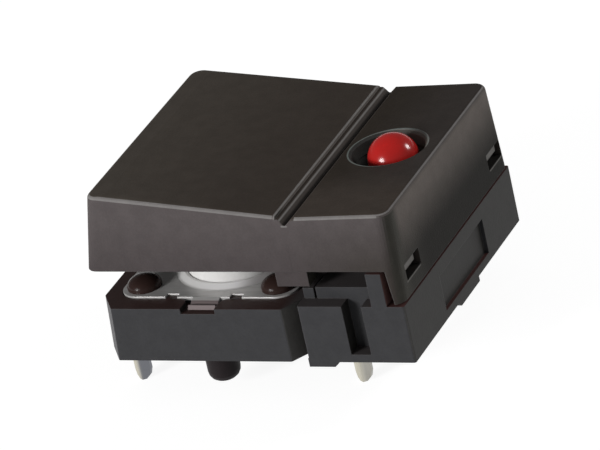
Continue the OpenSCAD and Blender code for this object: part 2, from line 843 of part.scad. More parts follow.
// The keycap's outer form left of the groove
module left_form() {
    hull() {
        for (y = [front_y(cap_left_z) + cap_corner_r, back_y(cap_left_z) - cap_corner_r])
            translate([left_top_x + cap_corner_r, y, 0]) puck(left_plane(left_top_x + cap_corner_r));
        for (y = [cap_y + cap_corner_r, cap_back - cap_corner_r])
            translate([cap_left + cap_corner_r, y, cap_bottom])
                cylinder(r = cap_corner_r, h = seam, $fn = medium);
        edge_bar(groove_x - seam, left_plane(groove_x));
        box([groove_x - seam, cap_y, cap_bottom], [groove_x, cap_back, cap_bottom + seam]);
    }
}

// The keycap's outer form right of the groove, down to the right wall's lower edge
module right_form() {
    hull() {
        for (y = [front_y(cap_right_z) + cap_corner_r, back_y(cap_right_z) - cap_corner_r])
            translate([right_top_x - cap_corner_r, y, 0]) puck(cap_right_z);
        for (y = [front_y(skirt_z) + cap_corner_r, back_y(skirt_z) - cap_corner_r])
            translate([-cap_corner_r, y, skirt_z])
                cylinder(r = cap_corner_r, h = seam, $fn = medium);
        edge_bar(groove_x - seam, right_plane(groove_x));
        box([groove_x - seam, front_y(skirt_z), skirt_z],
            [groove_x, back_y(skirt_z), skirt_z + seam]);
    }
}

// What is taken away under the keycap's lower edge, all but the right wall
module under_cut() {
    along_y(-base_d, 2 * base_d)
        polygon([
            [-base_w, skirt_z - over], [-skirt_t, skirt_z - over],
            [-skirt_t, skirt_z], [-cap_wall, cap_bottom], [-base_w, cap_bottom]
        ]);
}

module groove() {
    left = groove_x - groove_left_w;
    ledge = left_plane(left) - step_t;
    right = groove_x + groove_right_w;
    bottom = right_plane(right) - groove_t;
    lip = step_t / 3;
    along_y(-base_d, 2 * base_d)
        polygon([
            [left - step_w - lip, left_plane(left) + over],
            [left - step_w - lip, left_plane(left - step_w - lip)],
            [left - step_w, left_plane(left - step_w) - lip],
            [left - step_w + lip / 2, ledge], [left - lip, ledge],
            [left, ledge - lip / 2], [groove_x - lip, bottom], [groove_x + lip, bottom],
            [right, right_plane(right) - lip], [right + lip, right_plane(right)],
            [right + lip, left_plane(left) + over]
        ]);
}

// The room inside the keycap
module cavity() {
    low = skirt_z - over;
    in_x = left_top_x + cap_wall;
    top_in = left_plane(in_x) - cap_top_t;
    roof_mid = right_plane(groove_x) - cap_top_t;
    intersection() {
        along_y(-over, base_d + over)
            polygon([
                [left_wall_x(low) + cap_wall, low], [left_wall_x(top_in) + cap_wall, top_in],
                [groove_x, roof_mid], [-cap_wall, right_plane(-cap_wall) - cap_top_t],
                [-cap_wall, low]
            ]);
        along_x(-base_w, 0)
            polygon([
                [front_y(low) + cap_wall, low], [front_y(top_in) + cap_wall, top_in + over],
                [back_y(top_in) - cap_wall, top_in + over], [back_y(low) - cap_wall, low]
            ]);
    }
}

// Pusher over the plunger, with a cross of ribs that stiffens the left plane
module pusher() {
    roof = left_plane(works_x) - cap_top_t;
    translate([works_x, works_y, crown_z + push_gap])
        cylinder(r = pusher_r, h = roof + over - crown_z - push_gap, $fn = fine);
    rib_left = left_wall_x(roof) + cap_wall - over;
    rib_right = groove_x - cap_wall;
    along_y(works_y - rib_t / 2, works_y + rib_t / 2)
        polygon([
            [rib_left, left_plane(rib_left) - cap_top_t - rib_h],
            [rib_right, left_plane(rib_right) - cap_top_t - rib_h],
            [rib_right, left_plane(rib_right) - cap_top_t + over],
            [rib_left, left_plane(rib_left) - cap_top_t + over]
        ]);
    box([works_x - rib_t / 2, front_y(roof) + cap_wall - over, roof - rib_h],
        [works_x + rib_t / 2, back_y(roof) - cap_wall + over, roof + over]);
}

// Tube round the lamp, which keeps its light in and the room under the cap out of sight
module light_shade() {
    bore = hole_r + shade_step;
    top_z = right_plane(-hole_in) - cap_top_t + over;
    translate([-hole_in, lamp_y, shade_z])
        difference() {
            cylinder(r = bore + shade_t, h = top_z - shade_z, $fn = fine);
            translate([0, 0, -over]) cylinder(r = bore, h = cap_right_z, $fn = fine);
        }
}

// Legs that reach down beside the lamp deck, inside the front and the back wall
module legs() {
    leg_x = -deck_right - deck_w - leg_gap;
    top_z = right_plane(groove_x) - cap_top_t + over;
    for (y = [front_y(leg_z) + cap_wall - over, back_y(leg_z) - cap_wall - leg_t])
        box([leg_x - leg_w, y, leg_z], [leg_x, y + leg_t + over, top_z]);
}

module keycap() {
    color("#453f3b")
        at_peg() {
            difference() {
                union() {
                    left_form();
                    right_form();
                }
                under_cut();
                groove();
                cavity();
                for (y = window_ys)
                    box([-cap_wall - over, y, window_z], [over, y + window_l, window_top]);
                translate([-hole_in, lamp_y, 0]) {
                    cylinder(r = hole_r, h = 2 * cap_right_z, $fn = fine);
                    translate([0, 0, right_plane(-hole_in) - hole_bevel])
                        cylinder(r1 = hole_r, r2 = hole_r + 2 * hole_bevel,
                                 h = 2 * hole_bevel, $fn = fine);
                }
            }
            pusher();
            light_shade();
            legs();
        }
}

base_housing();
cover_plate();
plunger();
snap_dome();
ring_contact();
middle_contact();
lamp_lens();
lamp_anode();
lamp_cathode();
keycap();
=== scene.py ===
import math
from collections import namedtuple

import bmesh
import bpy
from mathutils import Matrix, Vector


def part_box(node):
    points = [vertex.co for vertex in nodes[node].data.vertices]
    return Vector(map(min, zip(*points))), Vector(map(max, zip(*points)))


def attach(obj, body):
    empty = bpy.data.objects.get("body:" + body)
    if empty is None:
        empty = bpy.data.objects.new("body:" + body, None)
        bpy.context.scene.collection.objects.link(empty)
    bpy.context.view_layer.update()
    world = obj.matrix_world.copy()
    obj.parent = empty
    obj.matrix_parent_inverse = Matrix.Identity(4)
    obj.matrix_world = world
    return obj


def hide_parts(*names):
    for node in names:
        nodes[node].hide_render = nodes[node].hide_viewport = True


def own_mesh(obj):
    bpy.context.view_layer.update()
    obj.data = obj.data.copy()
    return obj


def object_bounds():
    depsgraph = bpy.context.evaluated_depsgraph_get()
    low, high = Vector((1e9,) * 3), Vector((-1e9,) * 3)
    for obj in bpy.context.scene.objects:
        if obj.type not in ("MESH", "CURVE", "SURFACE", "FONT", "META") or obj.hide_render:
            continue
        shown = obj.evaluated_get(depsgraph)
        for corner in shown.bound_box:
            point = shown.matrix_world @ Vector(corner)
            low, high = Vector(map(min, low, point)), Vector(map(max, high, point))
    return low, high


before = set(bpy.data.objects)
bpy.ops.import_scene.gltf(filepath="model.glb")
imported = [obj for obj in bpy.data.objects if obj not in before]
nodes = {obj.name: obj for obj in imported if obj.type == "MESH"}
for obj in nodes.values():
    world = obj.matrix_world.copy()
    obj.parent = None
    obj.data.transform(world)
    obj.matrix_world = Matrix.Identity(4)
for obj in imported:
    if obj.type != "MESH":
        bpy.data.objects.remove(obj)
cad_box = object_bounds()

MM = 0.001

# A Grade runs from its first colour, at low, to its second, at high. A Wash lays one colour
# over another from low, where it starts, to high, where it covers. Both are read along X, Y or Z.
Grade = namedtuple("Grade", "low high first second")
Wash = namedtuple("Wash", "low high colour")
# A Line lies round a middle place, over half its width to either side, and fades out over soft.
Line = namedtuple("Line", "middle half soft colour")


# Camera and studio

CAMERA_LENS = 345.29
CAMERA_SENSOR = 36
CAMERA_NEAR = 0.01
CAMERA_FAR = 20
CAMERA_PLACE = (0.129336, -0.235024, 0.132015)
CAMERA_TURN = (
    (0.907470, 0.001907, 0.420113),
    (0.370150, 0.469364, -0.801677),
    (-0.198714, 0.883003, 0.425229),
)

# Each panel has a direction from the part, a width in metres and a power in watts.
PANEL_DISTANCE = 0.26
PANELS = {
    "front_left_panel": ((-0.493, -0.829, 0.264), 0.09, 0.65),
    "right_back_panel": ((0.718, 0.507, 0.476), 0.065, 0.28),
}

ROOM_LIGHT = 0.25
CEILING_LIGHT = 0.15
CEILING_RISE = 0.12

FLOOR_HALF = 2.0
FLOOR_GAP = 0.02 * MM
FLOOR_PLAIN = (0.8, 0.8, 0.8, 1)
FLOOR_SHADED = (0.2, 0.2, 0.2, 1)
FLOOR_GLOW = 0.9


def set_camera():
    """The camera stands in front, to the right and above, with a long lens."""
    lens = bpy.data.cameras.new("product_camera")
    lens.lens = CAMERA_LENS
    lens.sensor_width = CAMERA_SENSOR
    lens.clip_start = CAMERA_NEAR
    lens.clip_end = CAMERA_FAR
    camera = bpy.data.objects.new("product_camera", lens)
    bpy.context.scene.collection.objects.link(camera)
    camera.matrix_world = Matrix.Translation(CAMERA_PLACE) @ Matrix(CAMERA_TURN).to_4x4()
    bpy.context.scene.camera = camera


def hang_panel(name, towards, width, watts):
    """A round studio panel that looks at the middle of the part."""
    panel = bpy.data.lights.new(name, "AREA")
    panel.shape = "DISK"
    panel.size = width
    panel.energy = watts
    holder = bpy.data.objects.new(name, panel)
    bpy.context.scene.collection.objects.link(holder)
    middle = (cad_box[0] + cad_box[1]) / 2
    way = Vector(towards).normalized()
    holder.location = middle + way * PANEL_DISTANCE
    holder.rotation_mode = "QUATERNION"
    holder.rotation_quaternion = (-way).to_track_quat("-Z", "Y")


def seen_white(tree):
    """One where a camera, glossy or transmission ray looks, so the background shows white."""
    rays = tree.nodes.new("ShaderNodeLightPath").outputs
    seen = calc(tree, "MAXIMUM", rays["Is Camera Ray"], rays["Is Glossy Ray"])
    return calc(tree, "MAXIMUM", seen, rays["Is Transmission Ray"])


def choose_shader(tree, first, second, out):
    """The first shader lights the part, and the second is what a seeing ray finds."""
    choose = tree.nodes.new("ShaderNodeMixShader")
    tree.links.new(seen_white(tree), choose.inputs[0])
    tree.links.new(first.outputs[0], choose.inputs[1])
    tree.links.new(second.outputs[0], choose.inputs[2])
    tree.links.new(choose.outputs[0], tree.nodes.new(out).inputs["Surface"])


def set_world():
    """An even dim room, whose white walls show in reflections under a darker ceiling."""
    world = bpy.data.worlds.new("white_studio")
    bpy.context.scene.world = world
    world.use_nodes = True
    tree = world.node_tree
    tree.nodes.clear()
    room = add(tree, "ShaderNodeBackground", Color=(1, 1, 1, 1), Strength=ROOM_LIGHT)
    backdrop = add(tree, "ShaderNodeBackground", Color=(1, 1, 1, 1))
    rise = places(tree, "Generated")["Z"]
    ceiling = steps_between(tree, ramp(tree, rise, 0.0, CEILING_RISE), 1.0, CEILING_LIGHT)
    tree.links.new(ceiling, backdrop.inputs["Strength"])
    choose_shader(tree, room, backdrop, "ShaderNodeOutputWorld")


def lay_floor():
    """A pale floor that shows white where it is lit and keeps the part's shadow."""
    height = cad_box[0].z - FLOOR_GAP
    corners = [(x * FLOOR_HALF, y * FLOOR_HALF, height) for x, y in ((-1, -1), (1, -1), (1, 1), (-1, 1))]
    mesh = bpy.data.meshes.new("studio_floor")
    mesh.from_pydata(corners, [], [(0, 1, 2, 3)])
    floor = bpy.data.objects.new("studio_floor", mesh)
    bpy.context.scene.collection.objects.link(floor)
    paint = bpy.data.materials.new("white_floor")
    paint.use_nodes = True
    tree = paint.node_tree
    tree.nodes.clear()
    plain = add(tree, "ShaderNodeBsdfDiffuse", Color=FLOOR_PLAIN)
    weak = add(tree, "ShaderNodeBsdfDiffuse", Color=FLOOR_SHADED)
    glow = add(tree, "ShaderNodeEmission", Strength=FLOOR_GLOW)
    lit = tree.nodes.new("ShaderNodeAddShader")
    tree.links.new(weak.outputs[0], lit.inputs[0])
    tree.links.new(glow.outputs[0], lit.inputs[1])
    choose_shader(tree, plain, lit, "ShaderNodeOutputMaterial")
    mesh.materials.append(paint)


# Steps of a node tree

# A Mix node's places for its first and second value, and for its result.
MIX_PLACES = {"RGBA": (6, 7, 2), "VECTOR": (4, 5, 1)}


def fill(node, values):
    """Sets plain values on a node's inputs, whose names are written with _ for a space."""
    for name, value in values.items():
        node.inputs[name.replace("_", " ")].default_value = value
    return node


def add(tree, kind, **values):
    """A new node with plain values on its named inputs."""
    return fill(tree.nodes.new(kind), values)


def place_group(tree, group, **values):
    """A use of a shared effect with its own values."""
    use = tree.nodes.new("ShaderNodeGroup")
    use.node_tree = group
    return fill(use, values)


def feed(tree, socket, value):
    """Links a socket, or sets it where the value is plain."""
    if isinstance(value, bpy.types.NodeSocket):
        tree.links.new(value, socket)
    else:
        socket.default_value = value


def calc(tree, operation, first, second=None, clamp=False):
    """A math node on two sockets or numbers."""
    step = tree.nodes.new("ShaderNodeMath")
    step.operation = operation
    step.use_clamp = clamp
    feed(tree, step.inputs[0], first)
    if second is not None:
        feed(tree, step.inputs[1], second)
    return step.outputs[0]


def weighed(tree, first, second, share):
    """The sum of two patterns, of which the first has the given share."""
    return calc(tree, "ADD", calc(tree, "MULTIPLY", first, share), calc(tree, "MULTIPLY", second, 1 - share))


def both(tree, first, second):
    """One where both masks are one."""
    return calc(tree, "MULTIPLY", first, second)


def outside(tree, mask):
    """One where the mask is nought."""
    return calc(tree, "SUBTRACT", 1.0, mask)


def ramp(tree, value, low, high):
    """Zero below low and one above high, with a soft step between them."""
    step = add(tree, "ShaderNodeMapRange", From_Min=low, From_Max=high)
    step.interpolation_type = "SMOOTHSTEP"
    tree.links.new(value, step.inputs["Value"])
    return step.outputs["Result"]


def steps_between(tree, value, low, high):
    """Runs evenly from low to high as value goes from nought to one."""
    run = add(tree, "ShaderNodeMapRange", To_Min=low, To_Max=high)
    tree.links.new(value, run.inputs["Value"])
    return run.outputs["Result"]


def near(tree, value, middle, half, soft):
    """One where value is within half of middle, fading out over soft."""
    away = calc(tree, "ABSOLUTE", calc(tree, "SUBTRACT", value, middle))
    return ramp(tree, away, half + soft, half)


def mix(tree, kind, share, first, second, blend="MIX"):
    """A mix of two colours or vectors, where each value is a socket or plain."""
    node = tree.nodes.new("ShaderNodeMix")
    node.data_type = kind
    node.blend_type = blend
    at_first, at_second, result = MIX_PLACES[kind]
    feed(tree, node.inputs[0], share)
    feed(tree, node.inputs[at_first], first)
    feed(tree, node.inputs[at_second], second)
    return node.outputs[result]


def blend_colours(tree, share, first, second):
    """The first colour, with the second over it where share is one."""
    return mix(tree, "RGBA", share, first, second)


def graded(tree, value, grade):
    """A colour that runs along value as the grade says."""
    return blend_colours(tree, ramp(tree, value, grade.low, grade.high), grade.first, grade.second)


def washed(tree, under, value, wash, mask=None):
    """A colour with a wash over it along value, only where the mask is one."""
    share = ramp(tree, value, wash.low, wash.high)
    if mask is not None:
        share = both(tree, share, mask)
    return blend_colours(tree, share, under, wash.colour)


def lined(tree, under, value, line, mask):
    """A colour with a line over it, only where the mask is one."""
    share = both(tree, near(tree, value, line.middle, line.half, line.soft), mask)
    return blend_colours(tree, share, under, line.colour)


def places(tree, kind="Object"):
    """The surface's own X, Y and Z, in metres where kind is Object."""
    split = tree.nodes.new("ShaderNodeSeparateXYZ")
    tree.links.new(tree.nodes.new("ShaderNodeTexCoord").outputs[kind], split.inputs[0])
    return split.outputs


def noise(tree, place, scale, detail, roughness=0.5):
    """A cloudy pattern, with scale as a socket or as spots to the metre."""
    cloud = add(tree, "ShaderNodeTexNoise", Detail=detail, Roughness=roughness)
    tree.links.new(place, cloud.inputs["Vector"])
    feed(tree, cloud.inputs["Scale"], scale)
    return cloud.outputs["Fac"]


# Shared effects

CLOUDS_PER_METRE = 1300
FINE_GRAIN_SHARE = 0.45
ROLL_LINES_PER_METRE = 700
ROLL_BANDS_PER_METRE = 120
ROLL_LINE_SHARE = 0.6
ALONG_Y = (1.0, 30.0, 1.0)
ALONG_Z = (30.0, 30.0, 1.0)
BEVEL_SAMPLES = 6

# Where a mask starts and where it is full, as the share of a face's normal along Z or X
RISING = (0.15, 0.4)
UP = (0.35, 0.8)
SLANT_FROM = (0.2, 0.65)
SLANT_TO = (0.78, 0.985)
RIGHT_SLANT = (0.1, 0.3)
RIGHT_SLANT_LEAN = (0.75, 0.07, 0.16)
RIGHT = (0.6, 0.97)
CORNER_FROM = (0.4, 0.75)
CORNER_TO = (0.92, 0.997)
LEFT = (-0.4, -0.7)


def effect(name, inputs, outputs):
    """An empty node group with named sockets: inputs are (name, kind, value), outputs (name, kind)."""
    tree = bpy.data.node_groups.new(name, "ShaderNodeTree")
    for label, kind, value in inputs:
        socket = tree.interface.new_socket(name=label, in_out="INPUT", socket_type=kind)
        socket.default_value = value
    for label, kind in outputs:
        tree.interface.new_socket(name=label, in_out="OUTPUT", socket_type=kind)
    return tree, tree.nodes.new("NodeGroupInput").outputs, tree.nodes.new("NodeGroupOutput").inputs


def make_grain():
    """Fine eroded grain of a mould: a height for the bump and a faint cloudy tone."""
    tree, given, out = effect(
        "mould_grain",
        [("Grains per metre", "NodeSocketFloat", 9000.0)],
        [("Height", "NodeSocketFloat"), ("Tone", "NodeSocketFloat")])
    place = tree.nodes.new("ShaderNodeTexCoord").outputs["Object"]
    fine = noise(tree, place, given["Grains per metre"], detail=3, roughness=0.6)
    wide = noise(tree, place, CLOUDS_PER_METRE, detail=3)
    tree.links.new(fine, out["Height"])
    tree.links.new(weighed(tree, fine, wide, FINE_GRAIN_SHARE), out["Tone"])
    return tree


def make_soft_edge():
    """Rounded corners of a moulding: a bent normal, and a mask that marks the outer edges."""
    tree, given, out = effect(
        "soft_edge",
        [("Radius", "NodeSocketFloat", 0.08 * MM)],
        [("Normal", "NodeSocketVector"), ("Edge", "NodeSocketFloat")])
    round_over = tree.nodes.new("ShaderNodeBevel")
    round_over.samples = BEVEL_SAMPLES
    tree.links.new(given["Radius"], round_over.inputs["Radius"])
    true = tree.nodes.new("ShaderNodeNewGeometry").outputs["Normal"]
    match = tree.nodes.new("ShaderNodeVectorMath")
    match.operation = "DOT_PRODUCT"
    tree.links.new(round_over.outputs[0], match.inputs[0])
    tree.links.new(true, match.inputs[1])
    tree.links.new(round_over.outputs[0], out["Normal"])
    tree.links.new(calc(tree, "SUBTRACT", 1.0, match.outputs["Value"], clamp=True), out["Edge"])
    return tree


def make_facing():
    """Masks of faces that look up, right or left, of corners, and of rounded upper edges."""
    tree, _, out = effect("facing", [], [
        (label, "NodeSocketFloat") for label in ("Up", "Rising", "Slant", "Right", "Corner", "Left")])
    lean = places(tree, "Normal")
    rising = ramp(tree, lean["Z"], *RISING)
    upright = outside(tree, rising)
    slant = calc(tree, "SUBTRACT", ramp(tree, lean["Z"], *SLANT_FROM), ramp(tree, lean["Z"], *SLANT_TO),
                 clamp=True)
    broad = both(tree, ramp(tree, lean["X"], *RIGHT_SLANT),
                 outside(tree, near(tree, lean["Z"], *RIGHT_SLANT_LEAN)))
    corner = calc(tree, "SUBTRACT", ramp(tree, lean["X"], *CORNER_FROM), ramp(tree, lean["X"], *CORNER_TO),
                  clamp=True)
    tree.links.new(ramp(tree, lean["Z"], *UP), out["Up"])
    tree.links.new(rising, out["Rising"])
    tree.links.new(both(tree, slant, outside(tree, broad)), out["Slant"])
    tree.links.new(ramp(tree, lean["X"], *RIGHT), out["Right"])
    tree.links.new(both(tree, corner, upright), out["Corner"])
    tree.links.new(both(tree, ramp(tree, lean["X"], *LEFT), upright), out["Left"])
    return tree


def make_brushing():
    """Fine rolling lines of sheet metal along one direction, with a few deeper scores."""
    tree, given, out = effect(
        "rolled_sheet",
        [("Stretch", "NodeSocketVector", ALONG_Y)],
        [("Height", "NodeSocketFloat"), ("Tone", "NodeSocketFloat")])
    place = tree.nodes.new("ShaderNodeVectorMath")
    place.operation = "MULTIPLY"
    tree.links.new(tree.nodes.new("ShaderNodeTexCoord").outputs["Object"], place.inputs[0])
    tree.links.new(given["Stretch"], place.inputs[1])
    lines = noise(tree, place.outputs[0], ROLL_LINES_PER_METRE, detail=4, roughness=0.6)
    bands = noise(tree, place.outputs[0], ROLL_BANDS_PER_METRE, detail=2)
    tree.links.new(lines, out["Height"])
    tree.links.new(weighed(tree, lines, bands, ROLL_LINE_SHARE), out["Tone"])
    return tree


# Finishes

CLOUD_TONE = (0.32, 0.68)
CLOUD_DARK = (0.36, 0.36, 0.36, 1)
CLOUD_PALE = (0.64, 0.64, 0.64, 1)
CLOUD_SHARE = 0.32
# The pale rim on a moulding's outer edges is partly wear and partly painted highlight.
WORN_LIT_EDGE = (0.02, 0.2)
WORN_LIT_SHARE = 0.5
MOULD_BUMP = 0.5

SHEET_TONE = (0.3, 0.7)
SHEET_EDGE = 0.04 * MM
SHEET_BUMP = 0.3
SHEET_LINE_DEPTH = 0.006 * MM


def finish_of(name, roughness, metallic=0.0, specular=0.5, ior=1.45):
    """A material with its node tree and its Principled shader."""
    material = bpy.data.materials.new(name)
    material.use_nodes = True
    tree = material.node_tree
    shader = fill(tree.nodes["Principled BSDF"], {
        "Roughness": roughness, "Metallic": metallic, "Specular IOR Level": specular, "IOR": ior})
    return material, tree, shader


def roughen(tree, shader, height, normal, strength, depth):
    """A bump of the given height over the given normal."""
    bump = add(tree, "ShaderNodeBump", Strength=strength, Distance=depth)
    tree.links.new(height, bump.inputs["Height"])
    tree.links.new(normal, bump.inputs["Normal"])
    tree.links.new(bump.outputs[0], shader.inputs["Normal"])


def moulding(name, body, worn_and_lit, roughness, specular, grains, grain_depth, edge_radius):
    """Moulded plastic: a body colour with faint clouds, outer edges paled partly as wear and partly as
    painted highlight, and a fine grain.
    """
    material, tree, shader = finish_of(name, roughness, 0.0, specular)
    grain = place_group(tree, GRAIN, Grains_per_metre=grains)
    edges = place_group(tree, SOFT_EDGE, Radius=edge_radius)
    clouds = blend_colours(tree, ramp(tree, grain.outputs["Tone"], *CLOUD_TONE), CLOUD_DARK, CLOUD_PALE)
    clouded = mix(tree, "RGBA", CLOUD_SHARE, body(tree), clouds, "SOFT_LIGHT")
    # Paler outer edges: partly wear, partly painted highlight.
    rim = ramp(tree, edges.outputs["Edge"], *WORN_LIT_EDGE)
    painted = blend_colours(tree, calc(tree, "MULTIPLY", rim, WORN_LIT_SHARE), clouded, worn_and_lit)
    tree.links.new(painted, shader.inputs["Base Color"])
    roughen(tree, shader, grain.outputs["Height"], edges.outputs["Normal"], MOULD_BUMP, grain_depth)
    return material, tree, shader, painted


# Keycap

# Painted light and shade: the top planes run lighter and darker along X, and the right plane lighter towards
# the front.
LEFT_PLANE_SHADING = Grade(-5.5 * MM, 5.2 * MM, (0.062, 0.053, 0.0445, 1), (0.0445, 0.036, 0.03, 1))
RIGHT_PLANE_SHADING = Grade(6.6 * MM, 11.4 * MM, (0.0285, 0.0225, 0.0175, 1), (0.0385, 0.0325, 0.0295, 1))
RIGHT_PLANE_FRONT_LIGHT = Wash(4.0 * MM, 0.5 * MM, (0.051, 0.041, 0.034, 1))
PLANES_MEET = (6.0 * MM, 6.1 * MM)
# Painted light and shade on the walls: darker to the right and towards the back, lighter near their upper
# edges.
WALL_SIDEWAYS_SHADING = Grade(5.0 * MM, 11.0 * MM, (0.054, 0.0455, 0.046, 1), (0.038, 0.0325, 0.0295, 1))
WALL_HEAD_LIGHT = Wash(5.0 * MM, 8.8 * MM, (0.074, 0.064, 0.064, 1))
RIGHT_WALL_SHADING = Grade(2.6 * MM, 0.4 * MM, (0.0085, 0.0075, 0.006, 1), (0.022, 0.0205, 0.0175, 1))
RIGHT_WALL_HEAD_LIGHT = Wash(5.0 * MM, 8.4 * MM, (0.107, 0.093, 0.084, 1))
# Painted shade on the keycap's front right corner.
RIGHT_WALL_FRONT = (0.1 * MM, -0.7 * MM)
FRONT_CORNER_SHADE = (0.036, 0.034, 0.029, 1)
# Pale edge colour of the keycap: wear and painted highlight.
CAP_WORN_AND_LIT = (0.13, 0.124, 0.12, 1)

GROOVE = (5.98 * MM, 0.58 * MM, 0.04 * MM)
# Painted highlight on the rounded edges.
ROUNDED_EDGE_HIGHLIGHT = (0.2, 0.19, 0.186, 1)
# Painted highlights on the groove's ridges and painted shade in its bottom.
GROOVE_LIGHT_AND_SHADE_LINES = (
    Line(6.3 * MM, 0.11 * MM, 0.05 * MM, (0.07, 0.058, 0.05, 1)),
    Line(5.98 * MM, 0.05 * MM, 0.1 * MM, (0.024, 0.02, 0.0175, 1)),
    Line(5.46 * MM, 0.02 * MM, 0.05 * MM, (0.2, 0.19, 0.183, 1)),
    Line(5.74 * MM, 0.0, 0.055 * MM, (0.2, 0.19, 0.183, 1)),
)
# Painted highlight on the wall just below the groove's end.
GROOVE_END_ACROSS = (5.98 * MM, 0.12 * MM, 0.1 * MM)
GROOVE_END_HIGHLIGHT = Line(8.0 * MM, 0.02 * MM, 0.05 * MM, (0.17, 0.162, 0.158, 1))

HOLE_X = 8.85 * MM
HOLE_Y = 6.3 * MM
# Painted highlight round the lamp hole's rim.
HOLE_RIM_HIGHLIGHT = Line(2.13 * MM, 0.02 * MM, 0.04 * MM, (0.13, 0.147, 0.138, 1))
# Painted shade inside the lamp hole, graded lighter towards its right.
HOLE_WALL = (2.1 * MM, 2.06 * MM)
BORE_SHADE = Grade(7.6 * MM, 9.6 * MM, (0.034, 0.034, 0.032, 1), (0.1, 0.096, 0.086, 1))

# Painted shade on the keycap's low up-facing faces.
WINDOW_SILL_SHADE = Wash(5.4 * MM, 5.2 * MM, (0.012, 0.011, 0.01, 1))
# Painted highlight along the lower lip of each window.
WINDOW_LIP_HIGHLIGHT = Line(4.4 * MM, 0.02 * MM, 0.04 * MM, (0.1, 0.097, 0.09, 1))
WINDOW_HALF = 0.9 * MM
WINDOW_SOFT = 0.1 * MM
FRONT_WINDOW_IN = 1.98 * MM
REAR_WINDOW_IN = 1.43 * MM


def from_lamp_hole(tree):
    """Distance from the axis of the keycap's lamp hole."""
    where = places(tree)
    across = calc(tree, "POWER", calc(tree, "SUBTRACT", where["X"], HOLE_X), 2.0)
    along = calc(tree, "POWER", calc(tree, "SUBTRACT", where["Y"], HOLE_Y), 2.0)
    return calc(tree, "SQRT", calc(tree, "ADD", across, along))


def cap_body(tree):
    """Warm dark grey, with painted light and shade: graded planes and walls, painted highlights on rounded
    edges, groove ridges, the hole's rim and window lips, and painted shade in the groove, the bore, the front
    corner and the low sills.
    """
    where = places(tree)
    facing = place_group(tree, FACING).outputs
    # Painted light and shade graded over the two top planes.
    right_plane = washed(tree, graded(tree, where["X"], RIGHT_PLANE_SHADING), where["Y"], RIGHT_PLANE_FRONT_LIGHT)
    tops = blend_colours(tree, ramp(tree, where["X"], *PLANES_MEET),
                         graded(tree, where["X"], LEFT_PLANE_SHADING), right_plane)
    # Painted light near the walls' upper edges, painted shade lower down, to the right and towards the back.
    walls = washed(tree, graded(tree, where["X"], WALL_SIDEWAYS_SHADING), where["Z"], WALL_HEAD_LIGHT)
    right_wall = washed(tree, graded(tree, where["Y"], RIGHT_WALL_SHADING), where["Z"], RIGHT_WALL_HEAD_LIGHT)
    walls = blend_colours(tree, facing["Right"], walls, right_wall)
    # Painted shade on the front right corner.
    corner = both(tree, facing["Right"], ramp(tree, where["Y"], *RIGHT_WALL_FRONT))
    walls = blend_colours(tree, calc(tree, "MAXIMUM", corner, facing["Corner"]), walls, FRONT_CORNER_SHADE)
    colour = blend_colours(tree, facing["Up"], walls, tops)

    beside_groove = outside(tree, near(tree, where["X"], *GROOVE))
    # Painted highlight on rounded edges, away from the groove.
    colour = blend_colours(tree, both(tree, facing["Slant"], beside_groove), colour, ROUNDED_EDGE_HIGHLIGHT)
    # Painted highlights and shade along the groove.
    for line in GROOVE_LIGHT_AND_SHADE_LINES:
        colour = lined(tree, colour, where["X"], line, facing["Rising"])
    # Painted highlight below the groove's end.
    groove_end_highlight = both(tree, near(tree, where["X"], *GROOVE_END_ACROSS), outside(tree, facing["Rising"]))
    colour = lined(tree, colour, where["Z"], GROOVE_END_HIGHLIGHT, groove_end_highlight)

    radius = from_lamp_hole(tree)
    # Painted highlight on the hole's rim.
    colour = lined(tree, colour, radius, HOLE_RIM_HIGHLIGHT, facing["Rising"])
    # Painted shade on the walls of the lamp hole.
    colour = blend_colours(tree, ramp(tree, radius, *HOLE_WALL), colour, graded(tree, where["X"], BORE_SHADE))

    # Painted shade on low up-facing faces.
    colour = washed(tree, colour, where["Z"], WINDOW_SILL_SHADE, facing["Up"])
    front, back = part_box("keycap")[0].y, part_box("keycap")[1].y
    windows = calc(tree, "MAXIMUM", *(near(tree, where["Y"], middle, WINDOW_HALF, WINDOW_SOFT)
                                      for middle in (front + FRONT_WINDOW_IN, back - REAR_WINDOW_IN)))
    # Painted highlight under the windows.
    return lined(tree, colour, where["Z"], WINDOW_LIP_HIGHLIGHT, both(tree, facing["Right"], windows))


# Housing and button

# Painted light and shade: the one black is darker on right faces and lighter on corner and left faces.
HOUSING_FRONT = (0.034, 0.034, 0.0362, 1)
HOUSING_RIGHT_SHADE = (0.0242, 0.0232, 0.0218, 1)
HOUSING_CORNER_LIGHT = (0.062, 0.06, 0.057, 1)
HOUSING_LEFT_LIGHT = (0.062, 0.06, 0.0635, 1)
# Painted reddish reflection on the housing's upper faces and on the right ledge.
HOUSING_TOPS_REFLECTION = Grade(4.6 * MM, 5.4 * MM, (0.04, 0.023, 0.021, 1), (0.045, 0.04, 0.04, 1))
RIGHT_LEDGE_REFLECTION = Wash(9.6 * MM, 10.4 * MM, (0.06, 0.028, 0.026, 1))
# Painted shade on the peg below the housing.
PEG_SHADE = Wash(-0.02 * MM, -0.12 * MM, (0.014, 0.0105, 0.0115, 1))
# Painted reddish light on the post's right side, in the gap under the keycap's skirt.
POST_SIDE_LIGHT = Line(10.85 * MM, 0.03 * MM, 0.03 * MM, (0.15, 0.078, 0.072, 1))
POST_SIDE_FRONT = (-0.6 * MM, -0.8 * MM)
POST_SIDE_RISE = (3.3 * MM, 3.7 * MM)
# Painted light on the latch hooks.
HOOKS_LIGHT = Wash(10.95 * MM, 11.05 * MM, (0.12, 0.115, 0.108, 1))
HOOKS_RISE = (4.6 * MM, 4.7 * MM)

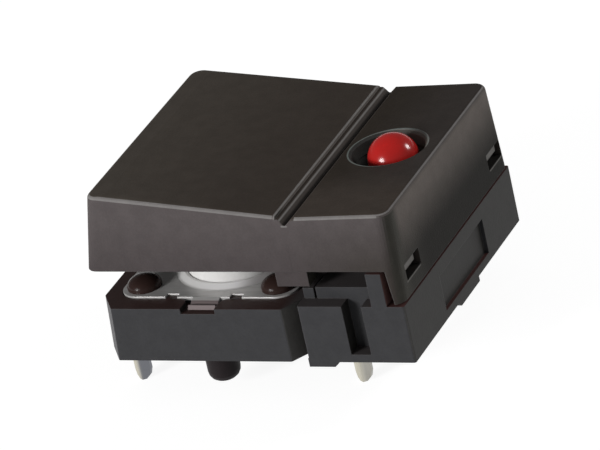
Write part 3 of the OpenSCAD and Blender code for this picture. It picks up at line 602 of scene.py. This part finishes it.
# Pale edge colour of the housing: wear and painted highlight.
HOUSING_WORN_AND_LIT = (0.07, 0.065, 0.064, 1)
HOUSING_ROUGHNESS = 0.5
MELTED_RISE = (3.38 * MM, 3.44 * MM)
MELTED_ACROSS = (5.7 * MM, 5.4 * MM)
# Painted shade darkens the melted heads; their gloss is their own.
MELTED_SHADE = (0.026, 0.015, 0.013, 1)
MELTED_ROUGHNESS = 0.22

BUTTON_SIDE = (0.62, 0.61, 0.6, 1)
# Painted light on the button's top.
BUTTON_TOP_LIGHT = (0.7, 0.69, 0.68, 1)
# Pale edge colour of the button: wear and painted highlight.
BUTTON_WORN_AND_LIT = (0.74, 0.73, 0.72, 1)


def housing_body(tree):
    """Cool black, with lit and shaded copies on the right, left and corner faces, a painted reddish
    reflection on the upper faces, painted shade on the peg, and painted light beside the post and on the
    latch hooks.
    """
    where = places(tree)
    facing = place_group(tree, FACING).outputs
    # Painted shade on right faces and painted light on corners and left faces.
    colour = blend_colours(tree, facing["Right"], HOUSING_FRONT, HOUSING_RIGHT_SHADE)
    colour = blend_colours(tree, facing["Corner"], colour, HOUSING_CORNER_LIGHT)
    colour = blend_colours(tree, facing["Left"], colour, HOUSING_LEFT_LIGHT)
    # Painted reddish reflection on upper faces.
    tops = washed(tree, graded(tree, where["X"], HOUSING_TOPS_REFLECTION), where["X"], RIGHT_LEDGE_REFLECTION)
    colour = blend_colours(tree, facing["Up"], colour, tops)
    # Painted shade below the housing.
    colour = washed(tree, colour, where["Z"], PEG_SHADE)
    # Painted reddish light in the gap under the skirt.
    under_skirt = both(tree, ramp(tree, where["Y"], *POST_SIDE_FRONT),
                       ramp(tree, where["Z"], *POST_SIDE_RISE))
    colour = lined(tree, colour, where["X"], POST_SIDE_LIGHT, both(tree, under_skirt, facing["Right"]))
    # Painted light on the latch hooks.
    return washed(tree, colour, where["X"], HOOKS_LIGHT, ramp(tree, where["Z"], *HOOKS_RISE))


def housing_finish():
    """The housing's moulding, with the glossy heads that were melted over the cover, darkened with painted
    shade.
    """
    material, tree, shader, painted = moulding(
        "housing_moulding", housing_body, HOUSING_WORN_AND_LIT, HOUSING_ROUGHNESS, specular=0.12, grains=7000.0,
        grain_depth=0.012 * MM, edge_radius=0.06 * MM)
    where = places(tree)
    melted = both(tree, ramp(tree, where["Z"], *MELTED_RISE), ramp(tree, where["X"], *MELTED_ACROSS))
    # Painted shade on the melted heads.
    tree.links.new(blend_colours(tree, melted, painted, MELTED_SHADE), shader.inputs["Base Color"])
    tree.links.new(steps_between(tree, melted, HOUSING_ROUGHNESS, MELTED_ROUGHNESS),
                   shader.inputs["Roughness"])
    return material


def button_body(tree):
    """Off-white, with the button's top a little paler as painted light."""
    return blend_colours(tree, place_group(tree, FACING).outputs["Up"], BUTTON_SIDE, BUTTON_TOP_LIGHT)


# Sheet metal

COVER_SHEET = ((0.46, 0.45, 0.44, 1), (0.6, 0.59, 0.58, 1))
COVER_ROUGHNESS = 0.42
COVER_METALLIC = 0.5
COLLAR_RISE = (3.42 * MM, 3.5 * MM)
# Painted light on the drawn collar, turning to painted shade on its right.
COLLAR_LIGHT = Grade(-1.2 * MM, 1.6 * MM, (0.64, 0.63, 0.62, 1), (0.78, 0.77, 0.77, 1))
COLLAR_RIGHT_SHADE = Wash(1.3 * MM, 2.5 * MM, (0.42, 0.4, 0.4, 1))
TONGUE = (-0.62 * MM, -0.72 * MM)
# Painted shade on the tongue's end.
TONGUE_SHADE = (0.15, 0.12, 0.12, 1)
TONGUE_ROUGHNESS = 0.7
DULL_METALLIC = 0.15

ROUGHNESS_FALL = 0.08
ROUGHNESS_RISE = 0.1
PLATED = ((0.5, 0.47, 0.38, 1), (0.66, 0.63, 0.53, 1))
# Painted shade on the terminals' right-hand parts.
PLATED_SHADE = (0.17, 0.175, 0.192, 1)
SPRING_STEEL = ((0.5, 0.49, 0.47, 1), (0.66, 0.65, 0.62, 1))
TINNED = ((0.55, 0.55, 0.54, 1), (0.7, 0.7, 0.69, 1))
LEFT_PIN_FROM = (-5.5 * MM, -5.1 * MM)
LEFT_PIN_TO = (1.0 * MM, 0.0)
RIGHT_PIN_FROM = (7.3 * MM, 7.75 * MM)
RIGHT_PIN_SHARE = 0.55
PINS_BELOW = (0.5 * MM, 0.3 * MM)


def rolled(name, colours, roughness, metallic, stretch):
    """A sheet metal's material with its tree, shader, sheet colour and rolled lines."""
    material, tree, shader = finish_of(name, roughness, metallic)
    lines = place_group(tree, BRUSHING, Stretch=stretch).outputs
    edges = place_group(tree, SOFT_EDGE, Radius=SHEET_EDGE)
    sheet = blend_colours(tree, ramp(tree, lines["Tone"], *SHEET_TONE), *colours)
    roughen(tree, shader, lines["Height"], edges.outputs["Normal"], SHEET_BUMP, SHEET_LINE_DEPTH)
    return material, tree, shader, sheet, lines


def stamped(name, colours, roughness, stretch, shaded=None, shade_colour=None):
    """Stamped and plated sheet metal, which shaded can darken in places."""
    material, tree, shader, sheet, lines = rolled(name, colours, roughness, 1.0, stretch)
    if shaded is not None:
        sheet = blend_colours(tree, shaded(tree), sheet, shade_colour)
    tree.links.new(sheet, shader.inputs["Base Color"])
    tree.links.new(steps_between(tree, lines["Tone"], roughness - ROUGHNESS_FALL, roughness + ROUGHNESS_RISE),
                   shader.inputs["Roughness"])
    return material


def pin_shade(tree):
    """Painted shade on the right-hand part of each terminal below the housing."""
    where = places(tree)
    left_pin = both(tree, ramp(tree, where["X"], *LEFT_PIN_FROM), ramp(tree, where["X"], *LEFT_PIN_TO))
    right_pin = calc(tree, "MULTIPLY", ramp(tree, where["X"], *RIGHT_PIN_FROM), RIGHT_PIN_SHARE)
    return both(tree, calc(tree, "MAXIMUM", left_pin, right_pin), ramp(tree, where["Z"], *PINS_BELOW))


def cover_finish():
    """Satin stamped cover: grey sheet, a drawn collar with painted light that turns to painted shade on its
    right, and a dull tongue in front darkened with painted shade.
    """
    material, tree, shader, sheet, _ = rolled(
        "stamped_cover", COVER_SHEET, COVER_ROUGHNESS, COVER_METALLIC, ALONG_Y)
    where = places(tree)
    drawn = ramp(tree, where["Z"], *COLLAR_RISE)
    # Painted light and shade on the collar.
    lit_collar = washed(tree, graded(tree, where["X"], COLLAR_LIGHT), where["X"], COLLAR_RIGHT_SHADE)
    sheet = blend_colours(tree, drawn, sheet, lit_collar)
    # Painted shade on the tongue.
    tongue = ramp(tree, where["Y"], *TONGUE)
    tree.links.new(blend_colours(tree, tongue, sheet, TONGUE_SHADE), shader.inputs["Base Color"])
    tree.links.new(steps_between(tree, calc(tree, "MAXIMUM", drawn, tongue), COVER_METALLIC, DULL_METALLIC),
                   shader.inputs["Metallic"])
    tree.links.new(steps_between(tree, tongue, COVER_ROUGHNESS, TONGUE_ROUGHNESS), shader.inputs["Roughness"])
    return material


# Lamp

# The deep red is both the swirls' tone and painted shade towards the flange.
RESIN_DEEP_AND_SHADED = (0.3, 0.016, 0.014, 1)
RESIN_BRIGHT = (0.45, 0.012, 0.01, 1)
RESIN_ROUGHNESS = 0.2
RESIN_IOR = 1.42
RESIN_SWIRLS_PER_METRE = 2500.0
RESIN_SWIRL_TONE = (0.3, 0.7)
RESIN_SWIRL_SHARE = 0.12
RESIN_BRIGHT_FROM = 0.6
LAMP_ROUND = 1.375 * MM
FLANGE_TOP = (0.95 * MM, 0.88 * MM)


def resin_finish():
    """Tinted lamp resin, darker towards its flange as painted shade, with the dome's true round normal."""
    material, tree, shader = finish_of("red_resin", RESIN_ROUGHNESS, ior=RESIN_IOR)
    low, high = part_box("lamp_lens")
    where = places(tree)
    rise = ramp(tree, where["Z"], low.z + RESIN_BRIGHT_FROM * (high.z - low.z), high.z)
    swirl = place_group(tree, GRAIN, Grains_per_metre=RESIN_SWIRLS_PER_METRE).outputs["Tone"]
    swirl = calc(tree, "MULTIPLY", ramp(tree, swirl, *RESIN_SWIRL_TONE), RESIN_SWIRL_SHARE)
    body = blend_colours(tree, swirl, RESIN_BRIGHT, RESIN_DEEP_AND_SHADED)
    # Painted shade towards the flange.
    tree.links.new(blend_colours(tree, rise, RESIN_DEEP_AND_SHADED, body), shader.inputs["Base Color"])

    radius = (high.x - low.x) / 2
    height = calc(tree, "MAXIMUM", calc(tree, "SUBTRACT", where["Z"], high.z - LAMP_ROUND), 0.0)
    outwards = tree.nodes.new("ShaderNodeCombineXYZ")
    tree.links.new(calc(tree, "SUBTRACT", where["X"], low.x + radius), outwards.inputs["X"])
    tree.links.new(calc(tree, "SUBTRACT", where["Y"], low.y + radius), outwards.inputs["Y"])
    tree.links.new(height, outwards.inputs["Z"])
    unit = tree.nodes.new("ShaderNodeVectorMath")
    unit.operation = "NORMALIZE"
    tree.links.new(outwards.outputs[0], unit.inputs[0])
    flange = ramp(tree, where["Z"], *(low.z + rise_of for rise_of in FLANGE_TOP))
    true = tree.nodes.new("ShaderNodeNewGeometry").outputs["Normal"]
    tree.links.new(mix(tree, "VECTOR", flange, unit.outputs[0], true), shader.inputs["Normal"])
    return material


# Dome under the button

DOME_SHEET = 0.08 * MM
DOME_STEPS = 8
DOME_SIDES = 64


def turn_dome(middle, profile, top, bottom):
    """A sheet turned round an upright axis, from its outer and inner profile and the height of its tips."""
    sheet = bmesh.new()
    rings = []
    for reach, lean in profile:
        across = reach * math.sin(lean)
        turns = [math.tau * side / DOME_SIDES for side in range(DOME_SIDES)]
        rings.append([sheet.verts.new(middle + Vector((
            across * math.cos(turn), across * math.sin(turn), reach * math.cos(lean)))) for turn in turns])
    top = sheet.verts.new(middle + Vector((0, 0, top)))
    bottom = sheet.verts.new(middle + Vector((0, 0, bottom)))
    for side in range(DOME_SIDES):
        after = (side + 1) % DOME_SIDES
        sheet.faces.new((top, rings[0][side], rings[0][after]))
        sheet.faces.new((bottom, rings[-1][after], rings[-1][side]))
        for outer, inner in zip(rings, rings[1:]):
            sheet.faces.new((outer[side], inner[side], inner[after], outer[after]))
    for face in sheet.faces:
        face.smooth = True
    cut_edge = set(rings[DOME_STEPS - 1]) | set(rings[DOME_STEPS])
    for edge in sheet.edges:
        if cut_edge.issuperset(edge.verts):
            edge.smooth = False
    mesh = bpy.data.meshes.new("spring_dome")
    sheet.to_mesh(mesh)
    sheet.free()
    return mesh


def spring_dome(finish):
    """The thin steel dome under the button, turned smooth."""
    low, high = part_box("snap_dome")
    rise = high.z - low.z
    radius = (high.x - low.x) / 2
    ball = (radius ** 2 + rise ** 2) / (2 * rise)
    under = ball - DOME_SHEET
    middle = Vector(((low.x + high.x) / 2, (low.y + high.y) / 2, high.z - ball))
    rim = math.asin(radius / ball)
    foot = math.acos((low.z - middle.z) / under)
    profile = [(ball, rim * step / DOME_STEPS) for step in range(1, DOME_STEPS + 1)]
    profile += [(under, foot * step / DOME_STEPS) for step in range(DOME_STEPS, 0, -1)]
    mesh = turn_dome(middle, profile, ball, under)
    mesh.materials.append(finish)
    dome = bpy.data.objects.new("spring_dome", mesh)
    bpy.context.scene.collection.objects.link(dome)
    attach(dome, "housing")
    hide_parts("snap_dome")

    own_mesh(dome)


def give(material, *names):
    """Puts a finish in every material slot of the named CAD nodes."""
    for name in names:
        slots = nodes[name].data.materials
        for place in range(len(slots)):
            slots[place] = material


set_camera()
set_world()
lay_floor()
for panel_name, (towards, width, watts) in PANELS.items():
    hang_panel(panel_name, towards, width, watts)

GRAIN = make_grain()
SOFT_EDGE = make_soft_edge()
FACING = make_facing()
BRUSHING = make_brushing()

give(moulding("cap_moulding", cap_body, CAP_WORN_AND_LIT, roughness=0.6, specular=0.08, grains=9000.0,
              grain_depth=0.03 * MM, edge_radius=0.07 * MM)[0], "keycap")
give(housing_finish(), "base_housing")
give(moulding("button_moulding", button_body, BUTTON_WORN_AND_LIT, roughness=0.5, specular=0.4, grains=7000.0,
              grain_depth=0.005 * MM, edge_radius=0.05 * MM)[0], "plunger")
give(cover_finish(), "cover_plate")
give(stamped("plated_contact", PLATED, roughness=0.28, stretch=ALONG_Z, shaded=pin_shade,
             shade_colour=PLATED_SHADE), "ring_contact", "middle_contact")
spring_dome(stamped("spring_steel", SPRING_STEEL, roughness=0.3, stretch=ALONG_Y))
give(stamped("tinned_lead", TINNED, roughness=0.35, stretch=ALONG_Z), "lamp_anode", "lamp_cathode")
give(resin_finish(), "lamp_lens")

bpy.context.scene.view_settings.view_transform = "Standard"
